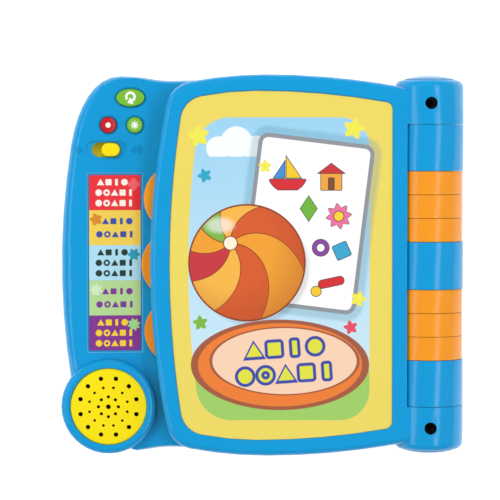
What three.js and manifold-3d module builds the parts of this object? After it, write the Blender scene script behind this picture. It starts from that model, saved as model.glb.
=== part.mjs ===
// A toy sound book, lying closed on its back: a flat case with a control panel and a loudspeaker,
// a thick picture cover and stiff page leaves that all turn on one rod inside a round spine.
// Millimetres, +Z up. X runs across the book towards the spine, Y runs along the spine.
// The origin is under the middle of the book, on the surface that it lies on.

import * as THREE from "three";
import { mergeVertices, toCreasedNormals } from "three/addons/utils/BufferGeometryUtils.js";
import Module from "manifold-3d";

const wasm = await Module();
wasm.setup();

// Overall sizes
const caseWidth = 270;
const caseLength = 254.4;
const barrelRadius = 23;

// Clearances
const runningGap = 0.4;
const seatGap = 0.2;
const sheetGap = 0.05;
const screwGap = 0.3;

// Case
const caseHeight = 22;
const caseWall = 2.4;
const caseFloor = 2.4;
const caseDeck = 2.4;
const caseTopRounding = 4;
const caseFootRounding = 1.6;
const partingHeight = 12;
const panelHeight = 26;
const panelDeck = 2.8;
const panelRounding = 7;
const crownStart = 13;
const crownEnd = 55.5;
const crownSteps = 6;
const caseSideBow = 500;
const panelHumpX = 40;
const panelHumpDrop = 0.6;
const panelCornerDown = 47;
const valleyX = 73;
const valleyDrop = 3.9;
const caseEndDrop = 1.5;
const caseToeSetback = 12;

// Spine
const barrelScoopGap = 1.2;
const middleKnuckle = 31.4;
const leafKnuckle = 15.4;
const endKnuckle = 29.7;
const knuckleSideGap = 0.3;
const knuckleWall = 2.2;
const leafKnuckleRadius = 22.5;
const hubRadius = 6;
const rodRadius = 3;
const rodBoreRadius = 3.4;

// Cover
const coverThickness = 8;
const panelWidth = 60.4;
const coverSetback = 16.1;
const coverSideBow = 531;
const coverApexIn = 77.2;
const coverEndBowOuter = 270;
const coverEndBowInner = 490;
const coverCornerAcross = 27;
const coverCornerDown = 20;
const coverRounding = 4.2;
const coverWall = 2.2;
const coverBackHeight = 2.4;
const coverBackFloor = 1.5;
const coverKnuckleSetback = 3.5;
const coverKnuckleRounding = 5;
const capMargin = 1.4;
const capPlugStep = 2;
const capPlugDepth = 4;
const capEdge = 0.4;
const windowBorderSide = 13;
const windowBorderEnd = 10.9;
const windowBorderHinge = 9.2;
const windowSideBow = 647;
const windowBowOuter = 190;
const windowApexShift = 6;
const windowDepth = 1.6;
const windowFloor = 1.6;
const windowBevel = 0.8;
const pictureThickness = 0.5;

// Page leaves
const leafCount = 3;
const leafThickness = 3.5;
const leafInset = 2.2;
const leafEdge = 0.6;
const tabRadius = 22.6;
const tabReach = 6.2;
const tabSpacing = 44.6;
const pageMargin = 8;
const pageRecess = 0.4;
const sheetThickness = 0.3;

// Controls on the panel, placed from the case's outer edge and its far end
const repeatX = 46.8;
const repeatY = 15.3;
const repeatHalfLength = 9.6;
const repeatHalfHeight = 6;
const roundButtonRadius = 5.35;
const roundButtonY = 33.6;
const stopButtonX = 32;
const startButtonX = 49.7;
const buttonProud = 1.8;
const buttonGap = 0.35;
const buttonFlange = 1.3;
const buttonFlangeThickness = 1.4;
const buttonTravel = 1.5;
const moatWidth = 1.4;
const moatDepth = 0.5;
const slideX = 30.6;
const slideY = 50.1;
const slideSlotWidth = 9.9;
const slideKnobLength = 12.5;
const slideTravel = 6;
const slideSlotLength = slideKnobLength + slideTravel + 2 * runningGap;
const slideProud = 2;
const slideFlange = 1.5;
const slideDishLength = 27.8;
const slideDishWidth = 12.2;
const slideDishDepth = 1.1;
const labelX = 36.3;
const labelY = 126;
const labelWidth = 34.8;
const labelLength = 118.2;
const labelMargin = 1.3;
const labelRecess = 0.8;
const labelThickness = 0.4;

// Loudspeaker
const bossRadius = 32;
const bossProud = 8;
const bossRounding = 4.2;
const grilleBorder = 6.3;
const grilleThickness = 2;
const grilleDome = 1.2;
const grilleLedge = 2.2;
const grilleSink = 0.8;
const coneBorder = 4.2;
const magnetBorder = 8.5;
const basketFlange = 4;
const magnetHeight = 6;
const speakerLift = 3.6;

// Electronics and batteries
const boardThickness = 1.6;
const boardHeight = 12.5;
const boardSide = 17;
const boardEnd = 10.2;
const boardReach = 8.3;
const boardMargin = 11;
const boardCorner = 19;
const boardStandRadius = 2;
const boardStandInset = 5;
const matMargin = 3.7;
const matCorner = 15;
const matThickness = 1.2;
const matDomeInset = 1.6;
const filmThickness = 0.6;
const filmMargin = 4;
const batteryRadius = 7.15;
const batteryLength = 50.2;
const batteryPitch = 15.2;
const batteryX = 8;
const bayWall = 1.2;
const baySpringRoom = 4;
const doorThickness = 2;
const doorLip = 2.4;
const springWire = 0.7;
const contactThickness = 0.5;
const contactHalfHeight = 4.6;
const contactSpacing = 1.4;
const batteryNub = 1.5;
const batteryNubRadius = 2.7;

// Screws
const screwHeadRadius = 2.7;
const screwHeadHeight = 1.8;
const screwShankRadius = 1.4;
const screwWellRadius = 3.3;
const caseScrewLength = 10;
const screwHoleSpare = 1.5;
const screwFromSide = 11;
const screwSideY = -20;
const screwFromPanel = 68;
const screwFromEnd = 13.5;
const screwFromHinge = 36;
const screwFromHingeEnd = 18;
const coverScrewEnd = 47;
const coverScrewAcross = 40;
const coverScrewInset = 5.6;
const hingeWellRadius = 4.1;
const hingeWellFloor = 5;
const hingeScrewIn = 15.7;
const coverScrewLength = 3.4;
const doorScrewLength = 5;
const flatHeadHeight = 0.9;
const flatHeadWell = 1;

// Places worked out from the sizes above
const halfWidth = caseWidth / 2;
const halfLength = caseLength / 2;
const hingeX = halfWidth - barrelRadius;
const hingeZ = barrelRadius;
const scoopRadius = barrelRadius + barrelScoopGap;
const deckUnderside = caseHeight - caseDeck;
const leafPitch = leafThickness + runningGap;
const coverUnderside = caseHeight + runningGap + leafCount * leafPitch;
const coverTop = coverUnderside + coverThickness;
const coverParting = coverUnderside + coverBackHeight;
const coverLeft = -halfWidth + panelWidth;
const coverRight = hingeX - coverSetback;
const coverApexX = coverLeft + coverApexIn;
const windowLift = coverTop - windowDepth;
const bossX = -halfWidth + bossRadius;
const bossY = -halfLength + bossRadius;
const bossTop = caseHeight + bossProud;
const leafBlock = middleKnuckle / 2 + knuckleSideGap;
const leafSlot = leafKnuckle + knuckleSideGap;
const outerKnuckleStart = leafBlock + leafCount * leafSlot;
const coverKnuckleEnd = halfLength - coverKnuckleSetback;
const coverKnuckleStart = coverKnuckleEnd - endKnuckle;
const outerKnuckleEnd = coverKnuckleStart - knuckleSideGap;
const hingeScrewY = coverKnuckleEnd - hingeScrewIn;
const grilleRadius = bossRadius - grilleBorder;
const coneRadius = grilleRadius - coneBorder;
const magnetRadius = coneRadius - magnetBorder;

// Facets of round forms
const barrelFacets = 32;
const bossFacets = 40;
const rodFacets = 12;
const hubFacets = 12;
const screwFacets = 8;
const buttonFacets = 20;
const edgeStep = 24;

// Colours
const blue = new THREE.Color(0x009ddc);
const finish = (color, roughness, metalness = 0) =>
  new THREE.MeshStandardMaterial({ color, roughness, metalness });
const materials = {
  caseBlue: finish(blue, 0.32),
  leafOrange: finish(0xf79a1e, 0.35),
  switchYellow: finish(0xffe600, 0.35),
  keyGreen: finish(0x7dc43a, 0.35),
  keyRed: finish(0xd8222a, 0.35),
  picture: finish(0xefd95c, 0.5),
  page: finish(0xf4f1e4, 0.55),
  label: finish(0xee2430, 0.5),
  board: finish(0x2c6b3f, 0.6),
  film: finish(0xb7a46a, 0.6),
  rubber: finish(0xd9d9d4, 0.8),
  blackPlastic: finish(0x1c1c1e, 0.5),
  coneBlack: finish(0x141414, 0.9),
  steel: finish(0xb9bdc2, 0.3, 1),
  batteryJacket: finish(0x3c4248, 0.4),
};

// Geometry helpers

// A closed three.js geometry as a solid that can be joined and cut.
function solidOf(geometry) {
  const bare = new THREE.BufferGeometry();
  const source = geometry.index ? geometry.toNonIndexed() : geometry;
  bare.setAttribute("position", source.getAttribute("position"));
  const merged = mergeVertices(bare, 1e-4);
  return new wasm.Manifold(
    new wasm.Mesh({
      numProp: 3,
      vertProperties: merged.attributes.position.array,
      triVerts: new Uint32Array(merged.index.array),
    }),
  );
}

const join = (first, ...rest) => rest.reduce((a, b) => a.add(b), first);
const cut = (first, ...rest) => rest.reduce((a, b) => a.subtract(b), first);

// An outline drawn inwards by a distance, each corner moved along its mitre.
function insetOutline(points, distance) {
  if (distance === 0) return points;
  return points.map((point, i) => {
    const before = points[(i + points.length - 1) % points.length];
    const after = points[(i + 1) % points.length];
    const a = new THREE.Vector2().subVectors(point, before).normalize();
    const b = new THREE.Vector2().subVectors(after, point).normalize();
    const normal = new THREE.Vector2(-a.y - b.y, a.x + b.x).normalize();
    const mitre = Math.max(0.5, normal.dot(new THREE.Vector2(-a.y, a.x)));
    return point.clone().addScaledVector(normal, distance / mitre);
  });
}

// A solid through a stack of layers, each [inset, height] of one outline.
function loft(points, layers, lift = () => 0) {
  const positions = [];
  for (const [inset, height] of layers)
    for (const p of insetOutline(points, inset)) positions.push(p.x, p.y, height + lift(p.x));
  const n = points.length;
  const faces = [];
  for (let layer = 0; layer + 1 < layers.length; layer++)
    for (let i = 0; i < n; i++) {
      const a = layer * n + i;
      const b = layer * n + ((i + 1) % n);
      faces.push(a, b, b + n, a, b + n, a + n);
    }
  const top = (layers.length - 1) * n;
  for (const [a, b, c] of THREE.ShapeUtils.triangulateShape(points, [])) {
    faces.push(a, c, b);
    faces.push(top + a, top + b, top + c);
  }
  const geometry = new THREE.BufferGeometry();
  geometry.setAttribute("position", new THREE.Float32BufferAttribute(positions, 3));
  geometry.setIndex(faces);
  return solidOf(geometry);
}

const prism = (points, low, high, lift) => loft(points, [[0, low], [0, high]], lift);

// A solid of one section, drawn across the book and upwards, that runs along the spine.
function bar(section, y0, y1) {
  const shape = new THREE.Shape(section);
  const geometry = new THREE.ExtrudeGeometry(shape, { depth: y1 - y0, bevelEnabled: false });
  geometry.rotateX(Math.PI / 2);
  geometry.translate(0, y1, 0);
  return solidOf(geometry);
}

// The layers of a rounded edge that ends at a top height, from the outline in.
function roundedTop(top, across, down, steps = 3) {
  const layers = [];
  for (let i = 0; i <= steps; i++) {
    const angle = ((Math.PI / 2) * i) / steps;
    layers.push([across * (1 - Math.cos(angle)), top - down + down * Math.sin(angle)]);
  }
  return layers;
}

function block(x0, x1, y0, y1, z0, z1) {
  const geometry = new THREE.BoxGeometry(x1 - x0, y1 - y0, z1 - z0);
  geometry.translate((x0 + x1) / 2, (y0 + y1) / 2, (z0 + z1) / 2);
  return solidOf(geometry);
}

// A cylinder along the hinge line, or a cone where the radii differ.
function barrel(radius, y0, y1, facets = barrelFacets, farRadius = radius) {
  const geometry = new THREE.CylinderGeometry(farRadius, radius, y1 - y0, facets);
  geometry.translate(hingeX, (y0 + y1) / 2, hingeZ);
  return solidOf(geometry);
}

function post(x, y, radius, z0, z1, facets = screwFacets) {
  const geometry = new THREE.CylinderGeometry(radius, radius, z1 - z0, facets);
  geometry.rotateX(Math.PI / 2);
  geometry.translate(x, y, (z0 + z1) / 2);
  return solidOf(geometry);
}

// A turned solid round an upright axis, from a profile of [radius, height] points.
function turned(x, y, profile, facets) {
  const points = profile.map(([radius, height]) => new THREE.Vector2(radius, height));
  const geometry = new THREE.LatheGeometry(points, facets);
  geometry.rotateX(Math.PI / 2);
  geometry.translate(x, y, 0);
  return solidOf(geometry);
}

// A turned solid on the hinge line, from a profile of [radius, distance along the spine] points.
function turnedOnHinge(profile, facets = barrelFacets) {
  const points = profile.map(([radius, along]) => new THREE.Vector2(radius, along));
  const geometry = new THREE.LatheGeometry(points, facets);
  geometry.translate(hingeX, 0, hingeZ);
  return solidOf(geometry);
}

function mirrored(solid) {
  return solid.mirror([0, 1, 0]);
}

function ellipse(x, y, halfAcross, halfUp, facets = buttonFacets) {
  return new THREE.EllipseCurve(x, y, halfAcross, halfUp).getPoints(facets).slice(0, -1);
}

function rectangle(x0, x1, y0, y1, radius = 0, steps = 4) {
  const path = new THREE.Path();
  if (radius === 0) {
    return [[x0, y0], [x1, y0], [x1, y1], [x0, y1]].map(([x, y]) => new THREE.Vector2(x, y));
  }
  path.moveTo(x0 + radius, y0);
  path.absarc(x1 - radius, y0 + radius, radius, -Math.PI / 2, 0);
  path.absarc(x1 - radius, y1 - radius, radius, 0, Math.PI / 2);
  path.absarc(x0 + radius, y1 - radius, radius, Math.PI / 2, Math.PI);
  path.absarc(x0 + radius, y0 + radius, radius, Math.PI, Math.PI * 1.5);
  return tidyOutline(path.getPoints(steps));
}

const stadium = (x, y, length, width) =>
  rectangle(x - length / 2, x + length / 2, y - width / 2, y + width / 2, width / 2 - 0.01, 5);

function tidyOutline(points) {
  return points.filter((p, i) => p.distanceTo(points[(i + 1) % points.length]) > 1e-3);
}

// A corner that leaves one edge and meets the next along their own directions.
function cornerPoints(from, fromDirection, to, toDirection, steps) {
  const chord = from.distanceTo(to);
  const turn = Math.abs(fromDirection.angle() - toDirection.angle());
  const angle = Math.min(turn, 2 * Math.PI - turn);
  const reach = (4 / 3) * Math.tan(angle / 4) * (chord / (2 * Math.sin(angle / 2)));
  const curve = new THREE.CubicBezierCurve(
    from,
    from.clone().addScaledVector(fromDirection.clone().normalize(), reach),
    to.clone().addScaledVector(toDirection.clone().normalize(), -reach),
    to,
  );
  return curve.getPoints(steps);
}

// Outlines

// The bowed outline that the cover, its window and the leaves share, even about the X axis.
function bowedOutline(sizes) {
  const { left, right, top, sideBow, apexX, bowOuter, bowInner, cornerX, cornerY, rightCorner } = sizes;
  const endAt = (x) => top - (x - apexX) ** 2 / (2 * (x < apexX ? bowOuter : bowInner));
  const endSlope = (x) => -(x - apexX) / (x < apexX ? bowOuter : bowInner);
  const sideAt = (y) => left + y ** 2 / (2 * sideBow);
  const cornerTopX = left + cornerX;
  const cornerSideY = top - cornerY;
  const upper = [];
  const start = right - rightCorner;
  if (rightCorner > 0) {
    const low = endAt(right) - rightCorner;
    upper.push(
      ...cornerPoints(
        new THREE.Vector2(right, low),
        new THREE.Vector2(0, 1),
        new THREE.Vector2(start, endAt(start)),
        new THREE.Vector2(-1, -endSlope(start)),
        4,
      ),
    );
  } else {
    upper.push(new THREE.Vector2(right, endAt(right)));
  }
  for (const [from, to] of [[start, apexX], [apexX, cornerTopX]]) {
    const steps = Math.ceil(Math.abs(to - from) / edgeStep);
    for (let i = from === apexX ? 0 : 1; i < steps; i++) {
      const x = from + ((to - from) * i) / steps;
      upper.push(new THREE.Vector2(x, endAt(x)));
    }
  }
  upper.push(
    ...cornerPoints(
      new THREE.Vector2(cornerTopX, endAt(cornerTopX)),
      new THREE.Vector2(-1, -endSlope(cornerTopX)),
      new THREE.Vector2(sideAt(cornerSideY), cornerSideY),
      new THREE.Vector2(-cornerSideY / sideBow, -1),
      6,
    ),
  );
  const sideSteps = Math.ceil(cornerSideY / edgeStep);
  for (let i = 1; i < sideSteps; i++) {
    const y = cornerSideY * (1 - i / sideSteps);
    upper.push(new THREE.Vector2(sideAt(y), y));
  }
  const lower = upper.map((p) => new THREE.Vector2(p.x, -p.y)).reverse();
  return tidyOutline([...upper, new THREE.Vector2(left, 0), ...lower]);
}

const coverOutline = (right, inset = 0, rightCorner = 0) =>
  bowedOutline({
    left: coverLeft + inset,
    right,
    top: halfLength - inset,
    sideBow: coverSideBow,
    apexX: coverApexX,
    bowOuter: coverEndBowOuter,
    bowInner: coverEndBowInner,
    cornerX: coverCornerAcross - inset / 2,
    cornerY: coverCornerDown - inset / 2,
    rightCorner,
  });

const windowOutline = bowedOutline({
  left: coverLeft + windowBorderSide,
  right: coverRight - windowBorderHinge,
  top: halfLength - windowBorderEnd,
  sideBow: windowSideBow,
  apexX: coverApexX - windowApexShift,
  bowOuter: windowBowOuter,
  bowInner: coverEndBowInner,
  cornerX: coverCornerAcross - 6,
  cornerY: coverCornerDown - 2,
  rightCorner: 4,
});

// The case's edge at one end, from the spine to the hump above the panel.
function caseEndPoints() {
  const apexY = halfLength - caseEndDrop;
  const valley = new THREE.Vector2(-halfWidth + valleyX, halfLength - valleyDrop);
  const hump = new THREE.Vector2(-halfWidth + panelHumpX, halfLength - panelHumpDrop);
  const points = [];
  const start = hingeX - caseToeSetback;
  const steps = Math.ceil((start - coverApexX) / edgeStep);
  for (let i = 0; i <= steps; i++) {
    const x = start + ((coverApexX - start) * i) / steps;
    points.push(new THREE.Vector2(x, apexY - (x - coverApexX) ** 2 / (2 * coverEndBowInner)));
  }
  const toValley = new THREE.CubicBezierCurve(
    new THREE.Vector2(coverApexX, apexY),
    new THREE.Vector2(coverApexX - 20, apexY),
    new THREE.Vector2(valley.x + 24, valley.y),
    valley,
  );
  const toHump = new THREE.CubicBezierCurve(
    valley,
    new THREE.Vector2(valley.x - 12, valley.y),
    new THREE.Vector2(hump.x + 16, hump.y),
    hump,
  );
  points.push(...toValley.getPoints(4).slice(1), ...toHump.getPoints(4).slice(1));
  return points;
}

function caseOutline() {
  const end = caseEndPoints();
  const hump = end[end.length - 1];
  const sideAt = (y) => -halfWidth + y ** 2 / (2 * caseSideBow);
  const cornerY = halfLength - panelCornerDown;
  const corner = new THREE.CubicBezierCurve(
    hump,
    new THREE.Vector2(hump.x - 18, hump.y),
    new THREE.Vector2(sideAt(cornerY) + 4.2, cornerY + 26),
    new THREE.Vector2(sideAt(cornerY), cornerY),
  );
  const side = [];
  const lowY = bossY + bossRadius * 0.5;
  const steps = 7;
  for (let i = 1; i <= steps; i++) {
    const y = cornerY + ((lowY - cornerY) * i) / steps;
    side.push(new THREE.Vector2(sideAt(y), y));
  }
  const insideBoss = [
    new THREE.Vector2(bossX, bossY - bossRadius * 0.5),
    new THREE.Vector2(bossX + bossRadius * 0.35, bossY - bossRadius * 0.9),
  ];
  const beside = end.filter((p) => p.x > bossX + bossRadius * 0.5);
  const lower = beside.map((p) => new THREE.Vector2(p.x, -p.y)).reverse();
  return tidyOutline([...end, ...corner.getPoints(8).slice(1), ...side, ...insideBoss, ...lower]);
}

// A round tab let into the left edge of an outline.
function withTab(points, x, y, radius) {
  const outside = (p) => (p.x - x) ** 2 + (p.y - y) ** 2 > radius ** 2 || p.x > x;
  const crossing = (p, q) => {
    let near = p;
    let far = q;
    for (let i = 0; i < 40; i++) {
      const middle = near.clone().lerp(far, 0.5);
      if (outside(middle)) near = middle;
      else far = middle;
    }
    return near;
  };
  const result = [];
  const n = points.length;
  const angleOf = (p) => (Math.atan2(p.y - y, p.x - x) + 2 * Math.PI) % (2 * Math.PI);
  for (let i = 0; i < n; i++) {
    const here = points[i];
    const next = points[(i + 1) % n];
    if (outside(here)) result.push(here);
    if (outside(here) && !outside(next)) {
      let last = i + 1;
      while (!outside(points[last % n])) last++;
      const enter = crossing(here, next);
      const leave = crossing(points[last % n], points[(last + n - 1) % n]);
      const steps = 10;
      for (let k = 0; k <= steps; k++) {
        const angle = angleOf(enter) + ((angleOf(leave) - angleOf(enter)) * k) / steps;
        result.push(new THREE.Vector2(x + radius * Math.cos(angle), y + radius * Math.sin(angle)));
      }
    }
  }
  return tidyOutline(result);
}

// Places of what stands on the panel
const crownLow = -halfWidth + crownStart;
const crownHigh = -halfWidth + crownEnd;

// How far the panel's crowned top stands above the deck at a place across the book.
function rise(x) {
  const along = THREE.MathUtils.clamp((x - crownLow) / (crownHigh - crownLow), 0, 1);
  return ((panelHeight - caseHeight) * (1 + Math.cos(Math.PI * along))) / 2;
}

const panelPlace = (fromSide, fromEnd) => [-halfWidth + fromSide, halfLength - fromEnd];
const roundButton = (name, fromSide) => ({
  name,
  at: panelPlace(fromSide, roundButtonY),
  across: roundButtonRadius,
  up: roundButtonRadius,
});
const buttons = [
  {
    name: "repeat_button",
    at: panelPlace(repeatX, repeatY),
    across: repeatHalfLength,
    up: repeatHalfHeight,
  },
  roundButton("stop_button", stopButtonX),
  roundButton("start_button", startButtonX),
];
const [slotX, slotY] = panelPlace(slideX, slideY);
const [labelCentreX, labelCentreY] = panelPlace(labelX, labelY);
const labelBox = (margin) => [
  labelCentreX - labelWidth / 2 - margin,
  labelCentreX + labelWidth / 2 + margin,
  labelCentreY - labelLength / 2 - margin,
  labelCentreY + labelLength / 2 + margin,
];
const caseScrews = [
  [-halfWidth + screwFromSide, screwSideY],
  [-halfWidth + screwFromPanel, 0],
];
for (const end of [1, -1]) {
  caseScrews.push([-halfWidth + screwFromPanel, end * (halfLength - screwFromEnd)]);
  caseScrews.push([hingeX - screwFromHinge, end * (halfLength - screwFromHingeEnd)]);
}
const coverScrews = [];
for (const end of [1, -1]) {
  const y = end * (halfLength - coverScrewEnd);
  coverScrews.push([coverLeft + y ** 2 / (2 * coverSideBow) + coverScrewInset, y]);
  const x = coverApexX + coverScrewAcross;
  const edge = halfLength - coverScrewAcross ** 2 / (2 * coverEndBowInner);
  coverScrews.push([x, end * (edge - coverScrewInset)]);
}

// The circuit board's edges, which follow the keys and the slide
const boardLeft = -halfWidth + boardSide;
const boardRight = -halfWidth + startButtonX + boardReach;
const boardFar = halfLength - boardEnd;
const boardNear = halfLength - slideY - boardMargin;
const boardStands = [
  [boardLeft + boardStandInset, boardNear + boardStandInset],
  [boardRight - boardStandInset, boardNear + boardStandInset],
  [boardRight - boardStandInset, boardFar - boardStandInset],
];

// Battery bay
const bayHalfLength = batteryLength / 2 + baySpringRoom;
const bayHalfWidth = batteryPitch / 2 + batteryRadius + seatGap;
const doorTop = seatGap + doorThickness;
const batteryZ = doorTop + seatGap + batteryRadius;
const contactReach = bayHalfWidth - 2;
const bayTop = batteryZ + batteryRadius + seatGap;
const bayScrewX = batteryX + bayHalfLength + 5;
const doorHoleTop = flatHeadHeight + doorScrewLength + screwHoleSpare;

// The pages on the case, the leaves and the inside of the cover share one outline.
const leafPlate = coverOutline(hingeX - scoopRadius / 3, leafInset);
const pageOutline = (inset) =>
  coverOutline(hingeX - scoopRadius - 4 - inset, leafInset + pageMargin + inset, 3);

// Case parts

function moulded(outline) {
  return loft(outline, [
    [caseFootRounding, 0],
    [0, caseFootRounding],
    ...roundedTop(caseHeight, caseTopRounding, caseTopRounding, 2),
  ]);
}

function bossForm() {
  const crown = [];
  const steps = 4;
  for (let i = 0; i <= steps; i++) {
    const angle = ((Math.PI / 2) * i) / steps;
    crown.push([
      bossRadius - bossRounding * (1 - Math.cos(angle)),
      bossTop - bossRounding * (1 - Math.sin(angle)),
    ]);
  }
  return turned(bossX, bossY, [
    [0, 0],
    [bossRadius - caseFootRounding, 0],
    [bossRadius, caseFootRounding],
    ...crown,
    [grilleRadius + seatGap + 0.6, bossTop - 0.2],
    [grilleRadius + seatGap, bossTop - grilleSink],
    [0, bossTop - grilleSink],
  ], bossFacets);
}

const knuckleSpans = [
  [-middleKnuckle / 2, middleKnuckle / 2],
  [outerKnuckleStart, outerKnuckleEnd],
  [-outerKnuckleEnd, -outerKnuckleStart],
];

// All that lies under the panel's crowned top, lowered by a distance.
function underCrown(lower) {
  const section = [
    new THREE.Vector2(crownHigh, 0),
    new THREE.Vector2(-caseWidth, 0),
    new THREE.Vector2(-caseWidth, panelHeight - lower),
  ];
  for (let i = 0; i <= crownSteps; i++) {
    const x = crownLow + ((crownHigh - crownLow) * i) / crownSteps;
    section.push(new THREE.Vector2(x, caseHeight + rise(x) - lower));
  }
  return bar(section.reverse(), -caseLength, caseLength);
}

const panelForm = () =>
  loft(caseOutline(), [
    [caseFootRounding, 0],
    [0, caseFootRounding],
    ...roundedTop(panelHeight + 0.01, panelRounding, panelRounding + 1, 3),
  ]).intersect(underCrown(0));

// The whole case as one block, before it is hollowed and parted.
function caseBlock() {
  const body = join(moulded(caseOutline()), panelForm(), bossForm());
  const scooped = cut(body, barrel(scoopRadius, -caseLength, caseLength));
  const knuckles = knuckleSpans.map(([low, high]) =>
    join(
      barrel(barrelRadius, low, high),
      block(hingeX - scoopRadius - 1, hingeX, low, high, 0, caseHeight),
    ),
  );
  return join(scooped, ...knuckles);
}

function caseHollow() {
  const room = cut(
    loft(insetOutline(caseOutline(), caseWall), [
      [0, caseFloor],
      [0, deckUnderside],
    ]),
    barrel(scoopRadius + caseWall, -caseLength, caseLength),
  );
  const panelRoom = loft(insetOutline(caseOutline(), caseWall), [
    [0, caseFloor + 1],
    [0, deckUnderside - 3],
    [panelRounding * 0.6, panelHeight - panelDeck],
  ]).intersect(underCrown(panelDeck));
  const speakerHigh = bossTop - 2 * bossRounding;
  const speakerRoom = post(bossX, bossY, bossRadius - caseWall, caseFloor, speakerHigh, 32);
  const knuckleRooms = knuckleSpans.map(([low, high]) =>
    barrel(barrelRadius - knuckleWall, low + knuckleWall, high - knuckleWall),
  );
  return join(room, panelRoom, speakerRoom, ...knuckleRooms);
}

const grilleSeat = bossTop - grilleSink - grilleThickness - 2 * seatGap;

// A slab over the whole book between two heights.
const allBetween = (low, high) => block(-caseWidth, caseWidth, -caseLength, caseLength, low, high);

function upperShell() {
  const upperHalf = allBetween(partingHeight, 3 * barrelRadius);
  const hubs = knuckleSpans.map(([low, high]) => barrel(hubRadius, low, high, hubFacets));
  let shell = join(
    cut(caseBlock().intersect(upperHalf), caseHollow()),
    ...hubs.map((hub) => hub.intersect(upperHalf)),
  );
  shell = cut(shell, barrel(rodBoreRadius, -caseLength, caseLength, rodFacets));
  for (const [x, y] of caseScrews) {
    shell = join(shell, post(x, y, screwWellRadius, partingHeight, deckUnderside + rise(x) + 0.5));
    const holeTop = partingHeight + caseScrewLength / 2 + screwHoleSpare;
    shell = cut(shell, post(x, y, screwShankRadius + screwGap, partingHeight - 1, holeTop));
  }
  shell = cut(
    shell,
    post(bossX, bossY, grilleRadius + seatGap, grilleSeat, bossTop + 1, bossFacets),
    post(bossX, bossY, grilleRadius - grilleLedge, deckUnderside - 4, bossTop, 32),
    cut(
      prism(rectangle(...labelBox(labelMargin / 2), 2), partingHeight, 2 * panelHeight),
      underCrown(labelRecess),
    ),
    prism(pageOutline(0), caseHeight - pageRecess, caseHeight + 1),
    loft(stadium(slotX, slotY, slideDishLength, slideDishWidth), [
      [1.6, caseHeight - slideDishDepth],
      [0.4, caseHeight - slideDishDepth * 0.4],
      [0, caseHeight],
      [0, caseHeight + 1.5],
    ], rise),
    prism(stadium(slotX, slotY, slideSlotLength, slideSlotWidth), deckUnderside - 2, panelHeight + 1),
  );
  for (const { at: [x, y], across, up } of buttons) {
    shell = cut(
      shell,
      loft(ellipse(x, y, across + moatWidth, up + moatWidth), [
        [moatWidth * 0.5, caseHeight - moatDepth],
        [0, caseHeight],
        [0, caseHeight + 1.5],
      ], rise),
      prism(ellipse(x, y, across + buttonGap, up + buttonGap), deckUnderside - 2, panelHeight + 1),
    );
  }
  return shell;
}

function lowerShell() {
  const lower = caseBlock().intersect(allBetween(-1, partingHeight - seatGap));
  const bay = block(
    batteryX - bayHalfLength - bayWall,
    batteryX + bayHalfLength + bayWall,
    -bayHalfWidth - bayWall,
    bayHalfWidth + bayWall,
    0,
    bayTop + bayWall,
  );
  const screwTower = post(bayScrewX, 0, screwWellRadius + 1, 0, partingHeight - 4, 16);
  let shell = join(cut(lower, caseHollow()), bay, screwTower);
  for (const [x, y] of boardStands)
    shell = join(shell, post(x, y, boardStandRadius, caseFloor - 0.5, boardHeight));
  for (const [x, y] of caseScrews) {
    shell = join(shell, post(x, y, screwWellRadius + 1.2, 0.5, partingHeight));
    shell = cut(
      shell,
      post(x, y, screwWellRadius, -1, partingHeight - caseScrewLength / 2),
      post(x, y, screwShankRadius + screwGap, -1, partingHeight + 1),
    );
  }
  return cut(
    shell,
    block(batteryX - bayHalfLength, batteryX + bayHalfLength, -bayHalfWidth, bayHalfWidth, -1, bayTop),
    doorForm(seatGap, -1, doorTop + 0.01),
    post(bayScrewX, 0, screwShankRadius + screwGap, -1, doorHoleTop),
  );
}

// The battery door's plan: a plate wider than the bay, with a rounded ear for its screw.
function doorForm(grow, low, high) {
  const plate = prism(
    rectangle(
      batteryX - bayHalfLength - doorLip - grow,
      batteryX + bayHalfLength + doorLip + grow,
      -bayHalfWidth - doorLip - grow,
      bayHalfWidth + doorLip + grow,
      2,
    ),
    low,
    high,
  );
  return join(plate, prism(stadium(bayScrewX - 2, 0, 16 + 2 * grow, 10 + 2 * grow), low, high));
}

function batteryDoor() {
  return cut(
    doorForm(0, seatGap, doorTop),
    post(bayScrewX, 0, screwShankRadius + screwGap, -1, doorTop + 1),
    post(bayScrewX, 0, screwHeadRadius + 0.3, -1, 2 * seatGap + flatHeadHeight),
  );
}

function screwForm(x, y, headLow, shankLength, headSide = -1, headHeight = screwHeadHeight) {
  const headHigh = headLow + headHeight;
  const head = post(x, y, screwHeadRadius, headLow, headHigh);
  const shank =
    headSide < 0
      ? post(x, y, screwShankRadius, headHigh - 0.1, headHigh + shankLength)
      : post(x, y, screwShankRadius, headLow - shankLength, headLow + 0.1);
  return join(head, shank);
}

const doorScrew = () =>
  screwForm(bayScrewX, 0, 2 * seatGap, doorScrewLength, -1, flatHeadHeight);

const coverScrew = (x, y) =>
  screwForm(x, y, coverUnderside + flatHeadWell - flatHeadHeight, coverScrewLength, -1, flatHeadHeight);

// Panel controls

const flangeTop = caseHeight - panelDeck - seatGap;
const flangeBottom = flangeTop - buttonFlangeThickness;

function buttonForm({ at: [x, y], across, up }) {
  const cap = loft(ellipse(x, y, across, up), [
    [0, flangeTop - 0.1],
    ...roundedTop(caseHeight + buttonProud, 1.4, 1.1, 2),
  ], rise);
  const flange = prism(
    ellipse(x, y, across + buttonFlange, up + buttonFlange),
    flangeBottom,
    flangeTop,
    rise,
  );
  return join(cap, flange);
}

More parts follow.
